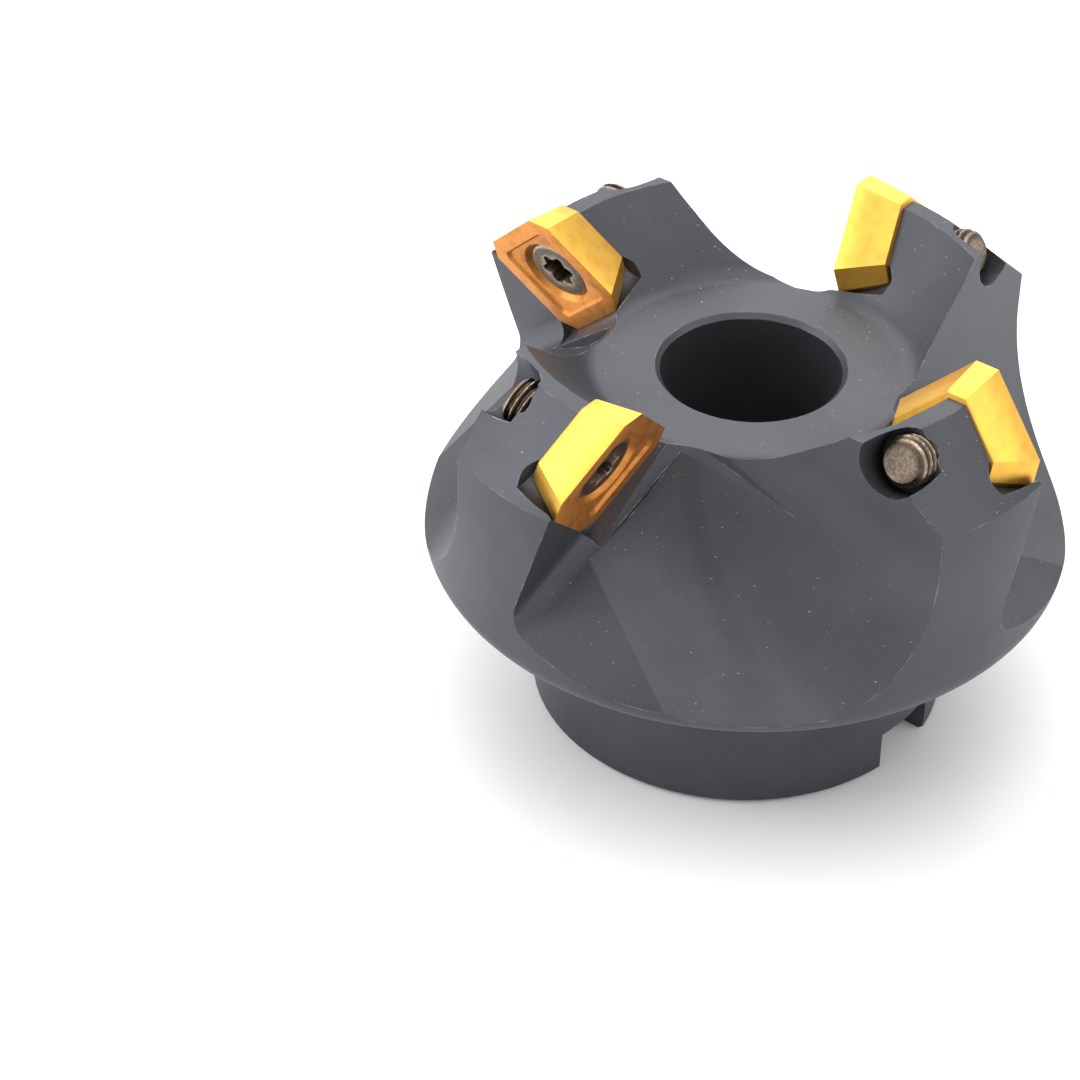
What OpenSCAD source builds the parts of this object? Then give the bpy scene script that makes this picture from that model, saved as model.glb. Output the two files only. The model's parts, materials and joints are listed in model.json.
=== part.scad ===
// Indexable 45 degree face mill, shell type, four square inserts.
// The rear hub face lies on z = 0, the cutter's axis is Z and the cutting face points up.
// Tooth 1 stands on +X, the others follow anticlockwise as seen from the cutting face.

/* [Cutter body] */
// Number of teeth, inserts and screws
teeth = 4; // [4]
// Cutting diameter at the corner between wiper flat and main edge
cutting_d = 50.8; // [50.4:0.1:51.2]
// Height of the wiper flats above the rear face
tip_z = 47; // [46.8:0.1:47.4]
// Height of the flat crest of the teeth
crest_z = 45.95; // [45.6:0.05:46.1]
// Outer diameter of the flat crest
crest_d = 50.1; // [49.8:0.1:50.4]
// Width of the flat crest
crest_w = 1.8; // [1.4:0.1:2.2]
// Height of the flat floor inside the ring of teeth
face_z = 38.45; // [38:0.05:39]
// Radius between that floor and the teeth's inner walls
dish_r = 3; // [2:0.5:4]
// Diameter of the skirt
skirt_d = 65; // [64.4:0.1:65.6]
// Height of the skirt's underside
skirt_z = 18.1; // [17.5:0.1:18.5]
// Radius of the skirt's lower edge
skirt_edge = 2.6; // [1.5:0.1:3]
// Diameter of the hub
hub_d = 42.8; // [42:0.1:43.6]
// Radius between hub and skirt
neck_r = 1; // [0.5:0.1:1.5]

/* [Bores and drive slots] */
// Diameter of the pilot bore that fits the arbor
pilot_d = 19.05; // [19.05]
// Depth of the pilot bore
pilot_depth = 17.5; // [16:0.5:18]
// Diameter of the clearance hole for the lock screw
lock_d = 10.4; // [10:0.1:11]
// Diameter of the counterbore for the lock screw's head
head_bore_d = 17.9; // [17.5:0.1:18.3]
// Height of that counterbore's floor
head_seat_z = 23; // [22:0.5:25]
// Chamfer on the mouths of the bores and on the hub's edge
mouth = 0.5; // [0.3:0.1:0.8]
// Width of the drive slots across the hub
slot_w = 7.94; // [7.9:0.01:8.1]
// Depth of the drive slots
slot_depth = 4.76; // [4.5:0.01:5]

/* [Inserts] */
// Inscribed circle of the square insert
insert_d = 12.7; // [12.7]
// Thickness of the insert
insert_t = 4.76; // [4.76]
// How much of each corner the wiper flat cuts away, along the diagonal
corner_cut = 1.23; // [1:0.01:1.4]
// Clearance angle of the main flanks
flank = 20; // [18:1:22]
// Clearance angle of the wiper flanks
wiper_flank = 25; // [22:1:28]
// Diameter of the screw hole
hole_d = 5.5; // [5.4:0.1:5.6]
// Mouth diameter of the countersink
sink_d = 7.8; // [7.6:0.1:8]
// Full angle of the countersink
sink_angle = 60; // [60]
// Width across the sunk square in the rake face
recess_w = 8.5; // [8.2:0.1:9]
// Depth of the sunk square
recess_depth = 0.35; // [0.2:0.05:0.5]

/* [Seats] */
// Axial rake of the seats
rake = 19; // [18:0.5:20]
// Offset of the insert's centre from the tooth's radius, in the cutting direction
seat_t = 1.3; // [1.1:0.1:1.5]
// Gap between insert and seat
seat_gap = 0.02; // [0.02:0.01:0.05]
// Radius of the relief holes in the seat's corners
relief_r = 1.7; // [1.5:0.1:1.8]
// Depth of the relief holes below the rake face
relief_depth = 5; // [4.9:0.1:5.4]

/* [Insert screws] */
// Thread diameter
thread_d = 5; // [5]
// Radial clearance between screw and tapped hole, and between head and countersink
screw_gap = 0.04; // [0.02:0.01:0.06]
// Diameter of the head
head_d = 6.9; // [6.7:0.1:7]
// Depth of the head's top below the rake face
head_sink = 0.75; // [0.7:0.05:0.85]
// Depth of the screw's tip below the rake face
tip_depth = 12; // [11.5:0.1:12.4]
// Chamfer at the tip
tip_chamfer = 0.65; // [0.4:0.05:0.8]
// Distance across the lobes of the six-lobe socket
socket_d = 3.95; // [3.9:0.01:4]
// Depth of the socket
socket_depth = 1.9; // [1.5:0.1:2]
// Radius of the spot face behind the tapped hole
spot_r = 3.1; // [3:0.05:3.3]
// Depth of that spot face below the rake face
spot_depth = 10; // [9.8:0.1:10.2]

/* [Gullets] */
// Rake-side wall of the gullet, below the rake face
wall_n = 0.1; // [0.05:0.05:0.6]
// Floor of the gullet, inwards of the insert's centre
floor_p = 6.6; // [6.4:0.05:7]
// Rise of that floor towards the skirt
floor_rise = 3; // [0:0.1:4]
// Radius between that wall and floor
gullet_r = 2.1; // [1.8:0.1:2.6]
// Turn of the scoop behind the next tooth, about the cutter's axis
scoop_turn = 2.2; // [1:0.1:4.2]
// Fall of the scoop towards the skirt
scoop_fall = 24; // [22:0.1:27]
// Slope of the scoop's floor across that fall
scoop_slope = 30; // [25:0.1:36]
// Radius between the scoop's wall and floor
scoop_r = 18.7; // [15:0.1:22]
// Distance of the scoop's wall from the cutter's axis
scoop_wall = 13.2; // [12.8:0.05:13.6]
// Height of the scoop's floor line at that wall
scoop_floor = 33.45; // [31.5:0.05:34.5]

/* [Hidden] */
$fn = 96;
pitch_angle = 360 / teeth;
hub_r = hub_d / 2;
skirt_r = skirt_d / 2;
crest_out = crest_d / 2;
crest_in = crest_out - crest_w;
land_z = crest_z - (skirt_r - crest_out) * cos(rake);  // the lands follow the main edges
dish_in = crest_in - (crest_z - face_z);       // foot of the 45 degree inner walls
half = insert_d / 2;
facet = half * sqrt(2) - corner_cut;           // centre to wiper flat
tip_t = seat_t + facet * sin(rake);            // tangential place of the cutting corner
seat_r = sqrt(pow(cutting_d / 2, 2) - tip_t * tip_t) - corner_cut;
seat_z = tip_z - facet * cos(rake);
sink_depth = recess_depth + (sink_d - hole_d) / 2 / tan(sink_angle / 2);
reach = 60;                                    // longer than any cut needs
over = 1;                                      // how far a cutter runs past a face
black = [0.16, 0.17, 0.19];
gold = [0.85, 0.66, 0.26];
brown = [0.45, 0.40, 0.35];

// ---- frames ----

module tooth(k) {
    rotate([0, 0, pitch_angle * (k - 1)]) children();
}

// Seat frame: Z leaves the rake face, X points outwards across the main cutting edge,
// Y runs along that edge, out and down. The origin is the middle of the rake face.
module seat_frame() {
    translate([seat_r, seat_t, seat_z])
        rotate([-(90 + rake), 0, 0])
            rotate([0, 0, -45])
                children();
}

// Half-space inside a plane that is d from Z at z = 0 and leans inwards below it.
module inside(d, lean) {
    translate([d, 0, 0])
        rotate([0, lean, 0])
            translate([-reach, -reach / 2, -reach / 2])
                cube(reach);
}

// ---- cutter body ----

module body_outline() {
    polygon([
        [0, 0], [hub_r - mouth, 0], [hub_r, mouth], [hub_r, skirt_z - neck_r],
        [hub_r + neck_r, skirt_z], [skirt_r - skirt_edge, skirt_z],
        [skirt_r, skirt_z + skirt_edge], [skirt_r, land_z],
        [crest_out, crest_z], [crest_in, crest_z], [dish_in, face_z], [0, face_z]
    ]);
    translate([skirt_r - skirt_edge, skirt_z + skirt_edge]) circle(skirt_edge, $fn = 32);
}

// Concave corner filler: the corner at the origin between the +X axis and a line at
// the angle a, rounded with the radius r.
module corner_fill(r, a) {
    run = r / tan(a / 2);
    difference() {
        polygon([[0, 0], [run, 0], [run, r], [run * cos(a), run * sin(a)]]);
        translate([run, r]) circle(r, $fn = 48);
    }
}

module blank_section() {
    difference() {
        body_outline();
        translate([hub_r + neck_r, skirt_z - neck_r]) circle(neck_r, $fn = 32);
    }
    translate([dish_in, face_z]) mirror([1, 0]) corner_fill(dish_r, 135);
}

module blank() {
    rotate_extrude() blank_section();
}

module bore(z0, z1, d) {
    translate([0, 0, z0]) cylinder(h = z1 - z0, d = d);
}

module bores() {
    bore(-over, pilot_depth, pilot_d);
    bore(pilot_depth - over, head_seat_z + over, lock_d);
    bore(head_seat_z, face_z + over, head_bore_d);
    translate([0, 0, -over])
        cylinder(h = mouth + over, d1 = pilot_d + 2 * (mouth + over), d2 = pilot_d);
    translate([0, 0, face_z - mouth])
        cylinder(h = mouth + over, d1 = head_bore_d, d2 = head_bore_d + 2 * (mouth + over));
}

module drive_slots() {
    translate([-reach / 2, -slot_w / 2, -over]) cube([reach, slot_w, slot_depth + over]);
}

// Wall beside the insert and floor below it, in the plane square to the cutting edge.
module gullet_section() {
    difference() {
        translate([-floor_p, -wall_n]) square(reach);
        translate([-floor_p, -wall_n]) corner_fill(gullet_r, 90);
    }
}

// First cut: it runs along the main cutting edge and stops short of the next tooth.
module edge_cut() {
    intersection() {
        seat_frame()
            rotate([90, 0, -floor_rise])
                translate([0, 0, -reach / 2])
                    linear_extrude(reach) gullet_section();
        rotate([0, 0, scoop_turn])
            translate([scoop_wall + over, -reach / 2, 0]) cube(reach);
    }
}

// Upright wall on the left, sloping floor on the right, one large radius between them.
module scoop_section() {
    a = 90 + scoop_slope;
    run = scoop_r / tan((180 - a) / 2 + scoop_slope);
    translate([scoop_wall, scoop_floor])
        difference() {
            polygon([[0, 0], [reach, -reach * tan(scoop_slope)], [reach, reach], [0, reach]]);
            rotate(-scoop_slope) corner_fill(scoop_r, a);
        }
}

// Second cut: it leaves the back wall of the next tooth.
module scoop_cut() {
    intersection() {
        rotate([0, 0, scoop_turn])
            rotate([90 - scoop_fall, 0, 0])
                translate([0, 0, -reach])
                    linear_extrude(2 * reach) scoop_section();
        seat_frame()
            translate([-reach, -reach, gullet_r - wall_n])
                cube([2 * reach, 2 * reach, reach]);
    }
}

// The pocket's walls follow the insert's flanks. Above the rake face they go straight on
// until the gullet's radius has passed.
module seat_pocket() {
    grow = half + seat_gap;
    intersection() {
        translate([-grow, -reach, -insert_t - seat_gap]) cube([reach, reach + grow, insert_t + gullet_r]);
        rotate([0, 0, 180]) inside(grow, flank);
        rotate([0, 0, 90]) inside(grow, flank);
    }
}

module relief_holes() {
    corner = half - insert_t * tan(flank);
    for (at = [[1, 1], [-1, 1], [-1, -1]])
        translate([at[0] * corner, at[1] * corner, -relief_depth]) {
            cylinder(h = relief_depth + over, r = relief_r, $fn = 48);
            mirror([0, 0, 1]) cylinder(h = relief_r / tan(59), r1 = relief_r, r2 = 0, $fn = 48);
        }
}

module tapped_hole() {
    translate([0, 0, -spot_depth - over]) cylinder(h = spot_depth, d = thread_d + 2 * screw_gap);
    translate([0, 0, -spot_depth]) mirror([0, 0, 1]) cylinder(h = 2 * half, r = spot_r);
}

module cutter_body() {
    color(black)
        difference() {
            blank();
            bores();
            drive_slots();
            for (k = [1:teeth])
                tooth(k) {
                    edge_cut();
                    scoop_cut();
                    seat_frame() {
                        seat_pocket();
                        relief_holes();
                        tapped_hole();
                    }
                }
        }
}

// ---- insert ----

module insert_shape() {
    difference() {
        intersection() {
            translate([-half * 2, -half * 2, -insert_t]) cube([half * 4, half * 4, insert_t]);
            intersection_for(side = [0:3]) rotate([0, 0, 90 * side]) inside(half, flank);
            intersection_for(side = [0:3]) rotate([0, 0, 45 + 90 * side]) inside(facet, wiper_flank);
        }
        translate([-recess_w / 2, -recess_w / 2, -recess_depth]) cube([recess_w, recess_w, over]);
        translate([0, 0, -insert_t - over]) cylinder(h = insert_t + 2 * over, d = hole_d);
        translate([0, 0, -sink_depth])
            cylinder(h = sink_depth - recess_depth, d1 = hole_d, d2 = sink_d);
    }
}

module insert(k) {
    color(gold) tooth(k) seat_frame() insert_shape();
}

// ---- insert screw ----

// Six-lobe socket: a round core with six round lobes and the hollows between them.
module socket_section() {
    lobe_r = socket_d * 0.10;
    dent_r = socket_d * 0.19;
    dent_at = socket_d * 0.545;
    difference() {
        circle(d = socket_d - lobe_r);
        for (i = [0:5]) rotate(60 * i + 30) translate([dent_at, 0]) circle(dent_r);
    }
    for (i = [0:5]) rotate(60 * i) translate([socket_d / 2 - lobe_r, 0]) circle(lobe_r);
}

module screw_section() {
    thread_r = thread_d / 2;
    head_r = head_d / 2;
    sink_r = sink_d / 2 - screw_gap;
    slope = tan(sink_angle / 2);
    rim_depth = recess_depth + (sink_r - head_r) / slope;
    neck_depth = recess_depth + (sink_r - thread_r) / slope;
    polygon([
        [0, -head_sink], [head_r - 0.2, -head_sink], [head_r, -head_sink - 0.2],
        [head_r, -rim_depth], [thread_r, -neck_depth], [thread_r, -tip_depth + tip_chamfer],
        [thread_r - tip_chamfer, -tip_depth], [0, -tip_depth]
    ]);
}

module insert_screw(k) {
    color(brown)
        tooth(k)
            seat_frame()
                difference() {
                    rotate_extrude() screw_section();
                    translate([0, 0, -head_sink - socket_depth])
                        linear_extrude(socket_depth + over) socket_section();
                }
}

// ---- nodes ----

cutter_body();
for (k = [1:teeth]) insert(k);
for (k = [1:teeth]) insert_screw(k);
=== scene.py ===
"""Looks of the shell face mill: body finish, inserts, insert screws and stage."""
import json
import math

import bpy
from mathutils import Matrix, Vector


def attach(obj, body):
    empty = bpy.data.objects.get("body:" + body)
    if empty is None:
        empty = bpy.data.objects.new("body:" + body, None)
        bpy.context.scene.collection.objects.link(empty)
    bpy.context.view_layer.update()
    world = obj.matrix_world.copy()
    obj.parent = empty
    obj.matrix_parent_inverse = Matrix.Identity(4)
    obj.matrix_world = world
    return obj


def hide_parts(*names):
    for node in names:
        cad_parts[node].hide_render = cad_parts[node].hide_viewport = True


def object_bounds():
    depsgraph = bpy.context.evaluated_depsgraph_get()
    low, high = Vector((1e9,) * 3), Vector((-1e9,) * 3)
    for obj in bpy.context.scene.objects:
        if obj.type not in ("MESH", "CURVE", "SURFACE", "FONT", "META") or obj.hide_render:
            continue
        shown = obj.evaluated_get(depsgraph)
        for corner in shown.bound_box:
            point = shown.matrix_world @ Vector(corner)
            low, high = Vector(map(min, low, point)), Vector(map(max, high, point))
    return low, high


bl_info = {
    "name": "Shell face mill looks",
    "version": (1, 0, 0),
    "blender": (4, 5, 0),
    "location": "3D View > Sidebar > Face mill",
    "description": "Finishes and fine shapes of an indexable shell face mill",
    "category": "Object",
}

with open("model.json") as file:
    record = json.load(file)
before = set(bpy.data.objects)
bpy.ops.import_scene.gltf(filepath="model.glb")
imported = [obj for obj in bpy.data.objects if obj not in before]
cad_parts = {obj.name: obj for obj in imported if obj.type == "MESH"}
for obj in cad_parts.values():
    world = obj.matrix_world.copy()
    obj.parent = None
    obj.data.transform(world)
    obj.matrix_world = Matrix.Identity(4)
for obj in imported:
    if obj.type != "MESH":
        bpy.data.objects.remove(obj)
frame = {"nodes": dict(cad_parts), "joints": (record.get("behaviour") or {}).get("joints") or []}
cad_box = [list(corner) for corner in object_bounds()]

MM = 0.001
TEETH = sum(name.startswith("insert_screw_") for name in frame["nodes"])
RAKE = math.radians(19)  # lean of the seats from upright
TURNS = {joint["child"]: joint for joint in frame["joints"] if joint["type"] == "hinge"}


def linear(hex_colour):
    """Linear RGBA of an sRGB hex colour."""
    parts = [int(hex_colour[i : i + 2], 16) / 255 for i in (1, 3, 5)]
    return [c / 12.92 if c <= 0.04045 else ((c + 0.055) / 1.055) ** 2.4 for c in parts] + [1.0]


# ---- settings a user would change ----


class FaceMillBody(bpy.types.PropertyGroup):
    oxide: bpy.props.FloatVectorProperty(
        name="Oxide", description="Colour of the black oxide finish", subtype="COLOR", size=4,
        min=0, max=1, default=linear("#46474c"))
    worn: bpy.props.FloatVectorProperty(
        name="Worn edge", description="Colour of the steel where an edge has lost its finish",
        subtype="COLOR", size=4, min=0, max=1, default=linear("#b9b9bb"))
    dust: bpy.props.FloatVectorProperty(
        name="Dust", description="Colour of dust specks", subtype="COLOR", size=4, min=0, max=1,
        default=linear("#a3a09a"))
    turning_feed: bpy.props.FloatProperty(
        name="Turning feed", description="Distance between turned rings", default=0.22 * MM,
        min=0.05 * MM, max=1 * MM, precision=5, unit="LENGTH")
    milling_feed: bpy.props.FloatProperty(
        name="Milling feed", description="Distance between milled lines", default=0.28 * MM,
        min=0.05 * MM, max=1 * MM, precision=5, unit="LENGTH")
    edge_break: bpy.props.FloatProperty(
        name="Edge break", description="Radius that the edges seem rounded with", default=0.12 * MM,
        min=0, max=0.5 * MM, precision=5, unit="LENGTH")


class FaceMillInserts(bpy.types.PropertyGroup):
    flank_coat: bpy.props.FloatVectorProperty(
        name="Flank coating", description="Colour of the coating on the ground flanks",
        subtype="COLOR", size=4, min=0, max=1, default=linear("#eab850"))
    rake_coat: bpy.props.FloatVectorProperty(
        name="Rake coating", description="Colour of the coating on the pressed rake face",
        subtype="COLOR", size=4, min=0, max=1, default=linear("#d8924a"))
    size: bpy.props.FloatProperty(
        name="Size", description="Inscribed circle of the insert", default=12.7 * MM, min=5 * MM,
        max=25 * MM, precision=5, unit="LENGTH")
    thickness: bpy.props.FloatProperty(
        name="Thickness", description="Thickness of the insert", default=4.76 * MM, min=2 * MM,
        max=8 * MM, precision=5, unit="LENGTH")
    corner: bpy.props.FloatProperty(
        name="Corner cut", description="Depth of the wiper flats at the corners", default=1.23 * MM,
        min=0, max=3 * MM, precision=5, unit="LENGTH")
    land: bpy.props.FloatProperty(
        name="Land", description="Width of the flat land along the cutting edges", default=1.7 * MM,
        min=0.3 * MM, max=2.2 * MM, precision=5, unit="LENGTH")
    burnt: bpy.props.FloatVectorProperty(
        name="Burnt spots", description="Colour of the darkest coating on the rake face",
        subtype="COLOR", size=4, min=0, max=1, default=linear("#8a4f22"))
    hone: bpy.props.FloatProperty(
        name="Hone", description="Rounding of the insert's edges", default=0.07 * MM, min=0,
        max=0.3 * MM, precision=5, unit="LENGTH")


class FaceMillScrews(bpy.types.PropertyGroup):
    steel: bpy.props.FloatVectorProperty(
        name="Steel", description="Colour of the phosphated steel", subtype="COLOR", size=4, min=0,
        max=1, default=linear("#5a4d42"))
    rubbed: bpy.props.FloatVectorProperty(
        name="Rubbed steel", description="Colour of the steel on crests and rims", subtype="COLOR",
        size=4, min=0, max=1, default=linear("#c6b5a2"))
    pitch: bpy.props.FloatProperty(
        name="Pitch", description="Rise of the thread in one turn", default=0.8 * MM, min=0.3 * MM,
        max=1.5 * MM, precision=5, unit="LENGTH")
    major: bpy.props.FloatProperty(
        name="Thread diameter", description="Diameter over the thread's crests", default=5 * MM,
        min=2 * MM, max=8 * MM, precision=5, unit="LENGTH")
    socket: bpy.props.FloatProperty(
        name="Socket", description="Width of the six-lobe socket over its lobes", default=3.95 * MM,
        min=1 * MM, max=5 * MM, precision=5, unit="LENGTH")


class FaceMillStage(bpy.types.PropertyGroup):
    floor: bpy.props.FloatVectorProperty(
        name="Floor", description="Colour of the floor", subtype="COLOR", size=4, min=0, max=1,
        default=linear("#f4f4f4"))
    lens: bpy.props.FloatProperty(
        name="Lens", description="Focal length in millimetres on a 36 mm sensor", default=98.7,
        min=20, max=300)
    light: bpy.props.FloatProperty(
        name="Light", description="Strength of all lights together", default=1, min=0, max=4)


# ---- helpers ----


def node(tree, kind, inputs=None, **settings):
    """Adds one shader node; inputs holds values or sockets by name or number."""
    made = tree.nodes.new("ShaderNode" + kind)
    for key, value in settings.items():
        setattr(made, key, value)
    for key, value in (inputs or {}).items():
        if isinstance(value, bpy.types.NodeSocket):
            tree.links.new(value, made.inputs[key])
        else:
            made.inputs[key].default_value = value
    return made


def new_material(name):
    """An empty node material and its tree."""
    material = bpy.data.materials.new(name)
    material.use_nodes = True
    material.node_tree.nodes.clear()
    return material, material.node_tree


def seat_matrix(k):
    """Seat frame of tooth k: Z leaves the rake face, X crosses the main edge, Y runs along it."""
    middle = Vector(TURNS[f"insert_screw_{k}"]["pos_m"])
    return (
        Matrix.Translation(middle)
        @ Matrix.Rotation(math.tau / TEETH * (k - 1), 4, "Z")
        @ Matrix.Rotation(-math.pi / 2 - RAKE, 4, "X")
        @ Matrix.Rotation(-math.pi / 4, 4, "Z")
    )


def skin(name, loops, closed, matrix, sharp=30):
    """Mesh object whose rows of quads join equal loops of points; single points close an end."""
    points, rows = [], []
    for loop in loops:
        rows.append(range(len(points), len(points) + len(loop)))
        points += loop
    faces, bands = [], []
    pairs = list(zip(rows, rows[1:])) + ([(rows[-1], rows[0])] if closed else [])
    for band, (a, b) in enumerate(pairs):
        count = max(len(a), len(b))
        for i in range(count):
            j = (i + 1) % count
            corners = [a[i % len(a)], a[j % len(a)], b[j % len(b)], b[i % len(b)]]
            faces.append(list(dict.fromkeys(corners)))
            bands.append(band)
    mesh = bpy.data.meshes.new(name)
    mesh.from_pydata([matrix @ Vector(p) for p in points], [], faces)
    mesh.polygons.foreach_set("use_smooth", [True] * len(faces))
    mesh.validate()
    mesh.update()
    mesh.set_sharp_from_angle(angle=math.radians(sharp))
    piece = bpy.data.objects.new(name, mesh)
    bpy.context.scene.collection.objects.link(piece)
    return piece, bands


# ---- finishes ----


def black_oxide_steel(look):
    """Alloy steel, turned and milled, then black oxided: a thin satin conversion layer that keeps
    every tool mark, reads charcoal under soft light and rubs through first at the edges."""
    material, tree = new_material("black oxide over turned and milled steel")
    place = node(tree, "TexCoord")
    position, normal = place.outputs["Object"], place.outputs["Normal"]
    xyz = node(tree, "SeparateXYZ", {0: position})
    flat = node(tree, "CombineXYZ", {0: xyz.outputs[0], 1: xyz.outputs[1]})
    radius = node(tree, "VectorMath", {0: flat.outputs[0]}, operation="LENGTH").outputs["Value"]
    around = node(tree, "VectorMath", {0: (0, 0, 1), 1: flat.outputs[0]}, operation="CROSS_PRODUCT")
    around = node(tree, "VectorMath", {0: around.outputs[0]}, operation="NORMALIZE")
    across = node(tree, "VectorMath", {0: normal, 1: around.outputs[0]}, operation="DOT_PRODUCT")
    across = node(tree, "Math", {0: across.outputs["Value"]}, operation="ABSOLUTE")
    # A turned face never leans round the axis, so a normal that does marks a milled face.
    milled = node(tree, "MapRange", {0: across.outputs[0], 1: 0.03, 2: 0.09}).outputs[0]

    # Turned rings follow the radius and the height together, so that cones and cylinders both
    # show them.
    height = node(tree, "Math", {0: radius, 1: 0.6, 2: xyz.outputs[2]}, operation="MULTIPLY_ADD")
    # The body's four sectors fold onto the first, where the milling runs along one known edge.
    # A sector starts a little before its tooth.
    angle = node(tree, "Math", {0: xyz.outputs[1], 1: xyz.outputs[0]},
                 operation="ARCTAN2").outputs[0]
    sector = node(tree, "Math", {0: angle, 1: TEETH / math.tau, 2: 0.12},
                  operation="MULTIPLY_ADD").outputs[0]
    sector = node(tree, "Math", {0: sector}, operation="FLOOR").outputs[0]
    back = node(tree, "Math", {0: sector, 1: -math.tau / TEETH}, operation="MULTIPLY").outputs[0]
    folded = node(tree, "VectorRotate", {"Vector": position, "Angle": back}, rotation_type="Z_AXIS")
    feed_way = (0, math.cos(RAKE), -math.sin(RAKE))
    along = node(tree, "VectorMath", {0: folded.outputs[0], 1: feed_way}, operation="DOT_PRODUCT")
    turned = node(tree, "Math", {0: height.outputs[0], 1: 1 / look.turning_feed},
                  operation="MULTIPLY")
    cut = node(tree, "Math", {0: along.outputs["Value"], 1: 1 / look.milling_feed},
               operation="MULTIPLY")
    turned = node(tree, "TexNoise", {"W": turned.outputs[0], "Scale": 1.0, "Detail": 2.0,
                                     "Roughness": 0.6},
                  noise_dimensions="1D").outputs[0]
    wander = node(tree, "TexNoise", {"Vector": position, "Scale": 1 / (3 * MM),
                                     "Detail": 1.0}).outputs[0]
    wave = node(tree, "Math", {0: cut.outputs[0], 1: math.tau}, operation="MULTIPLY")
    wave = node(tree, "Math", {0: wave.outputs[0]}, operation="SINE").outputs[0]
    wave = node(tree, "MapRange", {0: wave, 1: -1.0, 2: 1.0}).outputs[0]
    uneven = node(tree, "TexNoise", {"W": cut.outputs[0], "Scale": 0.7, "Detail": 2.0},
                  noise_dimensions="1D").outputs[0]
    lines = node(tree, "Mix", {"Factor": 0.45, 2: wave, 3: uneven})
    fade = node(tree, "MapRange", {0: wander, 1: 0.35, 2: 0.62}).outputs[0]
    lines = node(tree, "Mix", {"Factor": fade, 2: 0.5, 3: lines.outputs[0]}).outputs[0]
    marks = node(tree, "Mix", {"Factor": milled, 2: turned, 3: lines}).outputs[0]

    # The grain of the etched and oxided surface is about 0.02 mm; it is drawn at 0.12 mm to show.
    grain = node(tree, "TexNoise", {"Vector": position, "Scale": 1 / (0.12 * MM),
                                    "Detail": 2.0}).outputs[0]
    cloud = node(tree, "TexNoise", {"Vector": position, "Scale": 1 / (9 * MM),
                                    "Detail": 3.0}).outputs[0]
    tone = node(tree, "MapRange", {0: cloud, 1: 0.3, 2: 0.7, 3: 0.88, 4: 1.12}).outputs[0]
    deep = node(tree, "Mix", {"Factor": milled, 2: 0.14, 3: 0.42}).outputs[0]
    tone = node(tree, "Math", {0: marks, 1: deep, 2: tone}, operation="MULTIPLY_ADD").outputs[0]
    tone = node(tree, "Math", {0: grain, 1: 0.16, 2: tone}, operation="MULTIPLY_ADD").outputs[0]
    tone = node(tree, "Math", {0: tone, 1: 0.20}, operation="SUBTRACT").outputs[0]
    colour = node(tree, "VectorMath", {0: look.oxide[:3], "Scale": tone},
                  operation="SCALE").outputs[0]

    # Edges: where the rounded normal leaves the face's own, the finish is thin. Noise breaks the
    # line up.
    soft = node(tree, "Bevel", {"Radius": look.edge_break}, samples=6).outputs[0]
    wide = node(tree, "Bevel", {"Radius": look.edge_break * 1.3}, samples=6).outputs[0]
    face = node(tree, "NewGeometry").outputs["Normal"]
    same = node(tree, "VectorMath", {0: wide, 1: face}, operation="DOT_PRODUCT").outputs["Value"]
    edge = node(tree, "MapRange", {0: same, 1: 0.985, 2: 0.90}).outputs[0]
    rub = node(tree, "TexNoise", {"Vector": position, "Scale": 1 / (2.2 * MM), "Detail": 4.0,
                                  "Roughness": 0.7}).outputs[0]
    rub = node(tree, "MapRange", {0: rub, 1: 0.48, 2: 0.68}).outputs[0]
    edge = node(tree, "Math", {0: edge, 1: rub}, operation="MULTIPLY").outputs[0]
    edge = node(tree, "Math", {0: edge, 1: 0.75}, operation="MULTIPLY").outputs[0]
    colour = node(tree, "Mix", {"Factor": edge, 6: colour, 7: look.worn},
                  data_type="RGBA").outputs[2]

    # Dust: short flecks about 0.15 mm wide that gather on faces turned up.
    crook = node(tree, "TexNoise", {"Vector": position, "Scale": 1 / (0.25 * MM),
                                    "Detail": 1.0}).outputs["Color"]
    crook = node(tree, "VectorMath", {0: crook, 1: (0.22 * MM,) * 3, 2: position},
                 operation="MULTIPLY_ADD")
    stretched = node(tree, "Mapping", {"Vector": crook.outputs[0], "Rotation": (0.5, 0.3, 0.9),
                                       "Scale": (1.0, 1.0, 2.6)}).outputs[0]
    flecks = node(tree, "TexVoronoi", {"Vector": stretched, "Scale": 1 / (1.0 * MM),
                                       "Randomness": 1.0})
    size = node(tree, "SeparateColor", {0: flecks.outputs["Color"]})
    limit = node(tree, "MapRange", {0: size.outputs[0], 1: 0.20, 2: 1.0, 3: 0.0,
                                    4: 0.14}).outputs[0]
    fleck = node(tree, "Math", {0: flecks.outputs["Distance"], 1: limit},
                 operation="LESS_THAN").outputs[0]
    lift = node(tree, "SeparateXYZ", {0: normal}).outputs[2]
    lift = node(tree, "MapRange", {0: lift, 1: 0.1, 2: 0.6}).outputs[0]
    fleck = node(tree, "Math", {0: fleck, 1: lift}, operation="MULTIPLY").outputs[0]
    fleck = node(tree, "Math", {0: fleck, 1: size.outputs[1]}, operation="MULTIPLY").outputs[0]
    colour = node(tree, "Mix", {"Factor": fleck, 6: colour, 7: look.dust},
                  data_type="RGBA").outputs[2]

    # Painted shade: where ambient occlusion finds the surface hemmed in, in deep small holes,
    # creases and recesses, the colour is darkened towards black.
    open_way = node(tree, "AmbientOcclusion", {"Distance": 3.5 * MM}, samples=6).outputs["AO"]
    painted_recess_shade = node(tree, "MapRange", {0: open_way, 1: 0.05, 2: 0.40, 3: 0.12, 4: 1.0}).outputs[0]
    colour = node(tree, "VectorMath", {0: colour, "Scale": painted_recess_shade}, operation="SCALE").outputs[0]

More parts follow.
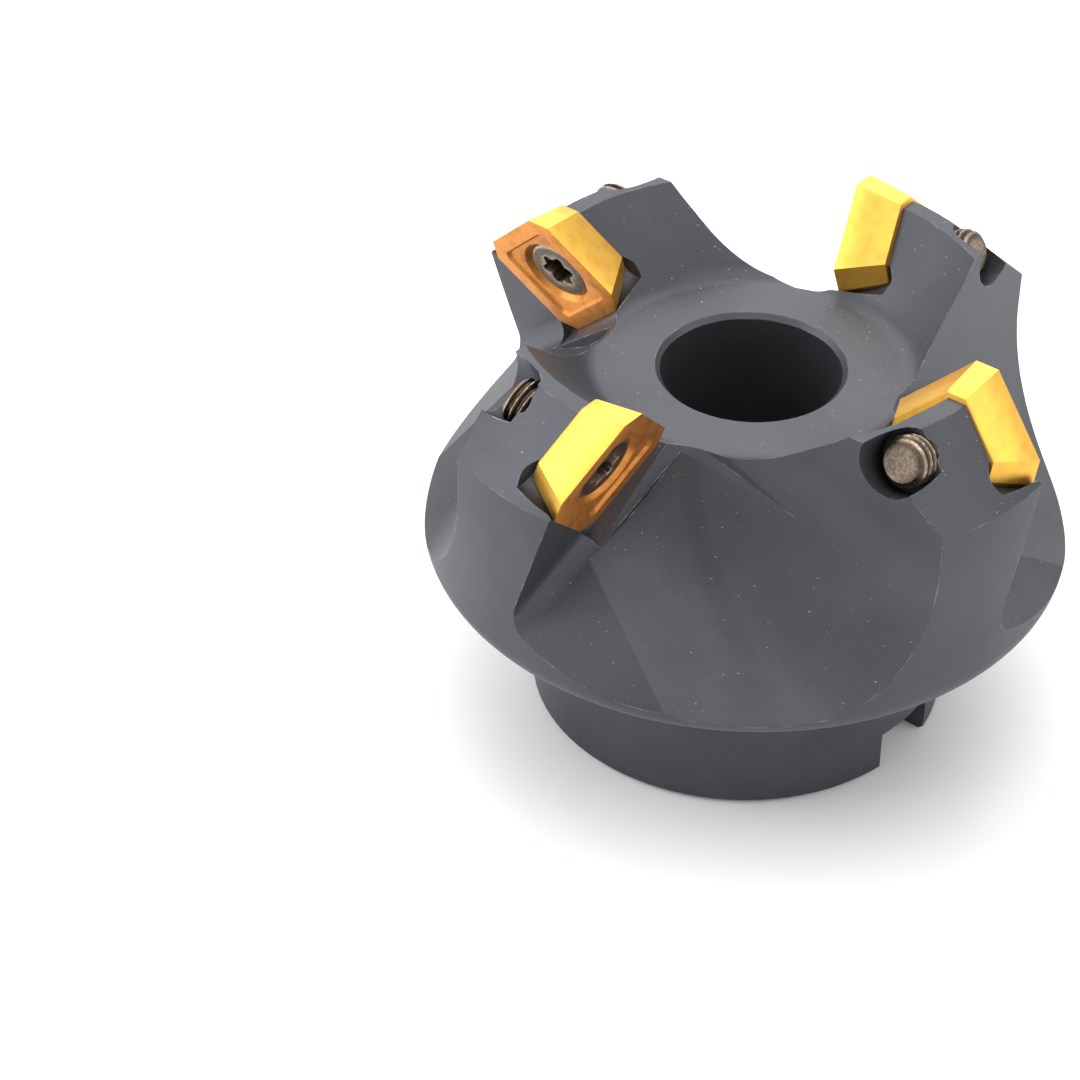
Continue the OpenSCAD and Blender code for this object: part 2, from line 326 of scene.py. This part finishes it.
    rough = node(tree, "MapRange", {0: grain, 1: 0.3, 2: 0.7, 3: 0.40, 4: 0.52}).outputs[0]
    rough = node(tree, "Mix", {"Factor": fleck, 2: rough, 3: 0.9}).outputs[0]
    relief = node(tree, "Mix", {"Factor": 0.35, 2: marks, 3: grain}).outputs[0]
    bump = node(tree, "Bump", {"Strength": 0.6, "Distance": 0.03 * MM, "Height": relief,
                               "Normal": soft})
    shader = node(tree, "BsdfPrincipled", {"Base Color": colour, "Roughness": rough,
                                           "Metallic": 0.6, "Normal": bump.outputs[0]})
    node(tree, "OutputMaterial", {0: shader.outputs[0]})
    return material


def nitride_coat(name, colour, dark, rough, grit):
    """Cemented carbide with a titanium nitride coating: a gold metal film a few micrometres thick.
    Ground flanks keep it bright and even; the pressed rake face is grainier and burnt orange."""
    material, tree = new_material(name)
    position = node(tree, "TexCoord").outputs["Object"]
    cloud = node(tree, "TexNoise", {"Vector": position, "Scale": 1 / (1.3 * MM),
                                    "Detail": 4.0}).outputs[0]
    grain = node(tree, "TexNoise", {"Vector": position, "Scale": 1 / grit,
                                    "Detail": 3.0}).outputs[0]
    tone = node(tree, "MapRange", {0: cloud, 1: 0.45, 2: 0.75, 3: 0.0, 4: 0.5}).outputs[0]
    # Droplets from the coating's arc, about 0.05 mm in truth and drawn at 0.15 mm to show.
    drops = node(tree, "TexVoronoi", {"Vector": position, "Scale": 1 / (0.9 * MM)})
    drop = node(tree, "MapRange", {0: drops.outputs["Distance"], 1: 0.16, 2: 0.08, 3: 0.0,
                                   4: 0.55}).outputs[0]
    pick = node(tree, "SeparateColor", {0: drops.outputs["Color"]}).outputs[0]
    pick = node(tree, "Math", {0: pick, 1: 0.78}, operation="GREATER_THAN").outputs[0]
    drop = node(tree, "Math", {0: drop, 1: pick}, operation="MULTIPLY").outputs[0]
    tone = node(tree, "Math", {0: tone, 1: drop}, operation="MAXIMUM").outputs[0]
    mixed = node(tree, "Mix", {"Factor": tone, 6: colour, 7: dark}, data_type="RGBA").outputs[2]
    shine = node(tree, "MapRange", {0: grain, 1: 0.3, 2: 0.7, 3: rough - 0.05,
                                    4: rough + 0.07}).outputs[0]
    bump = node(tree, "Bump", {"Strength": 0.25, "Distance": 0.01 * MM, "Height": grain})
    shader = node(tree, "BsdfPrincipled", {"Base Color": mixed, "Roughness": shine,
                                           "Metallic": 1.0, "Normal": bump.outputs[0]})
    node(tree, "OutputMaterial", {0: shader.outputs[0]})
    return material


def phosphated_steel(look):
    """Rolled thread steel, phosphated and oiled: brown grey and dull in the roots, rubbed bright
    on the crests and rims, which the mesh marks in its rubbed attribute."""
    material, tree = new_material("phosphated steel with rubbed crests")
    position = node(tree, "TexCoord").outputs["Object"]
    rubbed = node(tree, "Attribute", attribute_name="rubbed").outputs["Fac"]
    grain = node(tree, "TexNoise", {"Vector": position, "Scale": 1 / (0.3 * MM),
                                    "Detail": 4.0}).outputs[0]
    patch = node(tree, "MapRange", {0: grain, 1: 0.35, 2: 0.65, 3: 0.45, 4: 1.15}).outputs[0]
    bright = node(tree, "Math", {0: rubbed, 1: patch}, operation="MULTIPLY",
                  use_clamp=True).outputs[0]
    stain = node(tree, "MapRange", {0: grain, 1: 0.3, 2: 0.7, 3: 0.75, 4: 1.25}).outputs[0]
    dull = node(tree, "VectorMath", {0: look.steel[:3], "Scale": stain},
                operation="SCALE").outputs[0]
    colour = node(tree, "Mix", {"Factor": bright, 6: dull, 7: look.rubbed},
                  data_type="RGBA").outputs[2]
    rough = node(tree, "MapRange", {0: bright, 3: 0.48, 4: 0.28}).outputs[0]
    bump = node(tree, "Bump", {"Strength": 0.3, "Distance": 0.015 * MM, "Height": grain})
    shader = node(tree, "BsdfPrincipled", {"Base Color": colour, "Roughness": rough,
                                           "Metallic": 1.0, "Normal": bump.outputs[0]})
    node(tree, "OutputMaterial", {0: shader.outputs[0]})
    return material


# ---- shapes ----


def octagon(flat, corner, z, long_steps=12, short_steps=4):
    """Square with cut corners, in millimetres; flat and corner are distances from the middle."""
    c = corner * math.sqrt(2) - flat
    points = []
    for side in range(4):
        turn = Matrix.Rotation(math.pi / 2 * side, 3, "Z")
        for i in range(long_steps):
            points.append(turn @ Vector((flat, c * (2 * i / long_steps - 1), z)))
        for i in range(short_steps):
            t = i / short_steps
            points.append(turn @ Vector((flat + (c - flat) * t, c + (flat - c) * t, z)))
    return points


def circle_like(outline, radius, z):
    """Circle whose points lie in the same directions as the outline's."""
    return [Vector((p.x, p.y, 0)).normalized() * radius + Vector((0, 0, z)) for p in outline]


def insert_piece(k, look):
    """Closed band of loops in the seat's frame, in millimetres below the insert's rake face."""
    flat, thick = look.size / MM / 2, look.thickness / MM
    corner = flat * math.sqrt(2) - look.corner / MM
    land = look.land / MM
    base = [flat - thick * math.tan(math.radians(20)), corner - thick * math.tan(math.radians(25))]
    hone = look.hone / MM
    hole, rim, sunk = 2.75, 4.04, 0.36  # screw hole, mouth of its cone, depth of the chip breaker
    top = octagon(flat - hone, corner - hone, 0)
    floor_flat = flat - land - 0.35
    loops = [
        top,
        octagon(flat - hone * 0.35, corner - hone * 0.35, -hone * 0.3),
        octagon(flat - hone * 0.36, corner - hone * 0.46, -hone),
        octagon(base[0] + 0.07, base[1] + 0.07, -thick + 0.19),
        octagon(base[0] - 0.1, base[1] - 0.1, -thick),
        circle_like(top, hole + 0.2, -thick),
        circle_like(top, hole, -thick + 0.2),
        circle_like(top, hole, -2.42),
        circle_like(top, hole + 0.09, -2.2),
        circle_like(top, rim - 0.2, -0.5),
        circle_like(top, rim - 0.11, -0.41),
        circle_like(top, rim, -sunk),
        octagon(floor_flat, floor_flat * math.sqrt(2) - 0.42, -sunk),
        octagon(floor_flat + 0.08, floor_flat * math.sqrt(2) - 0.34, -0.33),
        octagon(flat - land - 0.06, (flat - land) * math.sqrt(2) - 0.52, -0.04),
        octagon(flat - land, (flat - land) * math.sqrt(2) - 0.46, 0),
    ]
    piece, bands = skin(f"coated_insert_{k}", loops, True, seat_matrix(k) @ Matrix.Scale(MM, 4))
    for face, band in zip(piece.data.polygons, bands):
        face.material_index = 0 if 1 <= band < 5 else 1
    return piece


def six_lobe(width, z, grow=0.0, columns=96):
    """Six-lobe socket outline in millimetres; grow opens it out for the chamfer at its mouth."""
    outer, inner = width / 2 + grow, width * 0.355 + grow
    points = []
    for i in range(columns):
        a = math.tau * i / columns
        r = inner + (outer - inner) * (0.5 + 0.5 * math.cos(6 * a)) ** 0.8
        points.append(Vector((r * math.cos(a), r * math.sin(a), z)))
    return points


# Rings of the screw's head from the socket out: radius and height in millimetres, share rubbed.
SCREW_HEAD = (
    (2.45, -0.75, 0.06), (3.0, -0.75, 0.10), (3.24, -0.79, 0.75), (3.39, -0.88, 0.9),
    (3.45, -1.0, 0.5), (3.42, -1.08, 0.1),
)


def screw_piece(k, look, columns=96):
    """Countersunk screw in its seat's frame, in millimetres below the insert's rake face."""
    pitch, crest, socket = look.pitch / MM, look.major / MM / 2, look.socket / MM
    depth, tip, chamfer = 0.6134 * pitch, -12.0, 0.65
    neck, run_out = -2.706, 0.6
    crest_flat, flank = 0.125, 0.625  # shares of half a pitch

    def ring(radius, z):
        turns = [math.tau * i / columns for i in range(columns)]
        return [Vector((radius * math.cos(a), radius * math.sin(a), z)) for a in turns]

    loops = [[Vector((0, 0, -3.0))], six_lobe(socket, -2.65), six_lobe(socket, -0.86),
             six_lobe(socket, -0.76, 0.09)]
    wear = [0.0, 0.0, 0.1, 0.5]
    for radius, z, share in (*SCREW_HEAD, (crest + 0.03, neck + 0.03, 0.1)):
        loops.append(ring(radius, z))
        wear.append(share)
    rows = round((neck - tip) / (pitch / 14))
    marks = []
    for row in range(rows + 1):
        z = neck + (tip - neck) * row / rows
        start = min(1.0, max(0.0, (neck - 0.25 - z) / run_out))
        limit = crest - max(0.0, chamfer - (z - tip))
        loop = []
        for i in range(columns):
            a = math.tau * i / columns
            off = abs((z / pitch - a / math.tau) % 1 - 0.5) * 2
            sunk = min(1.0, max(0.0, (off - crest_flat) / flank)) * start
            r = min(crest - depth * sunk, limit)
            loop.append(Vector((r * math.cos(a), r * math.sin(a), z)))
            marks.append(max(0.0, 1 - sunk * 2.2) * 0.7)
        loops.append(loop)
    loops.append(ring(crest - chamfer - 0.5, tip))
    loops.append([Vector((0, 0, tip))])
    piece, _ = skin(f"threaded_screw_{k}", loops, False, seat_matrix(k) @ Matrix.Scale(MM, 4),
                    sharp=38)
    worn = []
    for loop, value in zip(loops, wear):
        worn += [value] * len(loop)
    worn += marks + [0.35] * (columns + 1)
    piece.data.attributes.new("rubbed", "FLOAT", "POINT").data.foreach_set("value", worn)
    return piece


# ---- operators ----


class FACEMILL_OT_body(bpy.types.Operator):
    """Gives the cutter body its black oxide finish"""
    bl_idname = "facemill.body"
    bl_label = "Finish cutter body"

    def execute(self, context):
        body = frame["nodes"]["cutter_body"]
        finish = black_oxide_steel(context.scene.facemill_body)
        for held in body.material_slots:
            held.material = finish
        return {"FINISHED"}


class FACEMILL_OT_inserts(bpy.types.Operator):
    """Makes the coated square inserts with their chip breakers and honed edges"""
    bl_idname = "facemill.inserts"
    bl_label = "Make inserts"

    def execute(self, context):
        look = context.scene.facemill_inserts
        flanks = nitride_coat("titanium nitride on ground flanks", look.flank_coat, look.rake_coat,
                              0.42, 0.08 * MM)
        rakes = nitride_coat("titanium nitride on pressed rake face", look.rake_coat,
                             look.burnt, 0.54,
                             0.12 * MM)
        for k in range(1, TEETH + 1):
            piece = insert_piece(k, look)
            piece.data.materials.append(flanks)
            piece.data.materials.append(rakes)
            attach(piece, f"insert_{k}")
            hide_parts(f"insert_{k}")
        return {"FINISHED"}


class FACEMILL_OT_screws(bpy.types.Operator):
    """Makes the insert screws with their rolled threads and six-lobe sockets"""
    bl_idname = "facemill.screws"
    bl_label = "Make insert screws"

    def execute(self, context):
        look = context.scene.facemill_screws
        steel = phosphated_steel(look)
        for k in range(1, TEETH + 1):
            piece = screw_piece(k, look)
            piece.data.materials.append(steel)
            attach(piece, f"insert_screw_{k}")
            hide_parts(f"insert_screw_{k}")
        return {"FINISHED"}


# Softboxes: name, place, size across and down in metres, power in watts.
SOFTBOXES = (
    ("back", (-0.30, 0.36, 0.46), 0.6, 0.45, 2.3),
    ("top", (0.06, -0.04, 0.62), 0.5, 0.5, 1.4),
    ("left", (-0.46, -0.34, 0.30), 0.4, 0.5, 2.5),
    ("right", (0.50, 0.20, 0.34), 0.35, 0.4, 0.9),
)
LAMPS_AIM = Vector((0, 0, 0.025))
CAMERA_PLACE = (0.13515, -0.19736, 0.2039)
CAMERA_LOOK = Vector((-0.4988, 0.6081, -0.6176))
TENT = (0.97, 0.98, 1.0, 1.0)  # linear, a touch of blue
TENT_STRENGTH = 0.9
FLOOR_HALF = 3  # metres


class FACEMILL_OT_stage(bpy.types.Operator):
    """Sets up the pale floor, the soft lights and the camera"""
    bl_idname = "facemill.stage"
    bl_label = "Set stage"

    def execute(self, context):
        look, scene = context.scene.facemill_stage, context.scene
        low = cad_box[0][2]
        # Painted board: matt, nearly white.
        material, tree = new_material("matt white board")
        speck = node(tree, "TexNoise", {"Scale": 400.0, "Detail": 2.0}).outputs[0]
        tone = node(tree, "MapRange", {0: speck, 1: 0.3, 2: 0.7, 3: 0.985, 4: 1.0}).outputs[0]
        paint = node(tree, "VectorMath", {0: look.floor[:3], "Scale": tone},
                     operation="SCALE").outputs[0]
        shader = node(tree, "BsdfPrincipled", {"Base Color": paint, "Roughness": 0.8})
        node(tree, "OutputMaterial", {0: shader.outputs[0]})
        mesh = bpy.data.meshes.new("floor")
        signs = ((-1, -1), (1, -1), (1, 1), (-1, 1))
        corners = [(x * FLOOR_HALF, y * FLOOR_HALF, low) for x, y in signs]
        mesh.from_pydata(corners, [], [(0, 1, 2, 3)])
        floor = bpy.data.objects.new("floor", mesh)
        floor.data.materials.append(material)
        scene.collection.objects.link(floor)

        world = bpy.data.worlds.new("white tent")
        world.use_nodes = True
        world.node_tree.nodes["Background"].inputs[0].default_value = TENT
        world.node_tree.nodes["Background"].inputs[1].default_value = TENT_STRENGTH * look.light
        scene.world = world
        for name, place, across, down, power in SOFTBOXES:
            lamp = bpy.data.lights.new(name + " softbox", "AREA")
            lamp.shape, lamp.size, lamp.size_y = "RECTANGLE", across, down
            lamp.energy = power * look.light
            box = bpy.data.objects.new(lamp.name, lamp)
            box.location = place
            aim = (LAMPS_AIM - Vector(place)).to_track_quat("-Z", "Y")
            box.rotation_euler = aim.to_euler()
            scene.collection.objects.link(box)

        camera = bpy.data.cameras.new("camera")
        camera.lens, camera.sensor_width, camera.clip_start = look.lens, 36, 0.01
        view = bpy.data.objects.new("camera", camera)
        view.location = CAMERA_PLACE
        view.rotation_euler = CAMERA_LOOK.to_track_quat("-Z", "Y").to_euler()
        scene.collection.objects.link(view)
        scene.camera = view
        scene.view_settings.view_transform = "Standard"
        return {"FINISHED"}


class FACEMILL_PT_panel(bpy.types.Panel):
    """Lists the steps and their settings"""
    bl_idname = "FACEMILL_PT_panel"
    bl_label = "Face mill"
    bl_space_type = "VIEW_3D"
    bl_region_type = "UI"
    bl_category = "Face mill"

    def draw(self, context):
        for group, step in STEPS.items():
            box = self.layout.box()
            settings = getattr(context.scene, group)
            for key in settings.__annotations__:
                box.prop(settings, key)
            box.operator(step.bl_idname)


GROUPS = {
    "facemill_body": FaceMillBody,
    "facemill_inserts": FaceMillInserts,
    "facemill_screws": FaceMillScrews,
    "facemill_stage": FaceMillStage,
}
STEPS = {
    "facemill_body": FACEMILL_OT_body,
    "facemill_inserts": FACEMILL_OT_inserts,
    "facemill_screws": FACEMILL_OT_screws,
    "facemill_stage": FACEMILL_OT_stage,
}
CLASSES = (*GROUPS.values(), *STEPS.values(), FACEMILL_PT_panel)


def register():
    for cls in CLASSES:
        bpy.utils.register_class(cls)
    for name, group in GROUPS.items():
        setattr(bpy.types.Scene, name, bpy.props.PointerProperty(type=group))


def unregister():
    for name in GROUPS:
        delattr(bpy.types.Scene, name)
    for cls in reversed(CLASSES):
        bpy.utils.unregister_class(cls)


def main():
    register()
    bpy.ops.facemill.body()
    bpy.ops.facemill.inserts()
    bpy.ops.facemill.screws()
    bpy.ops.facemill.stage()


if __name__ == "__main__":
    main()
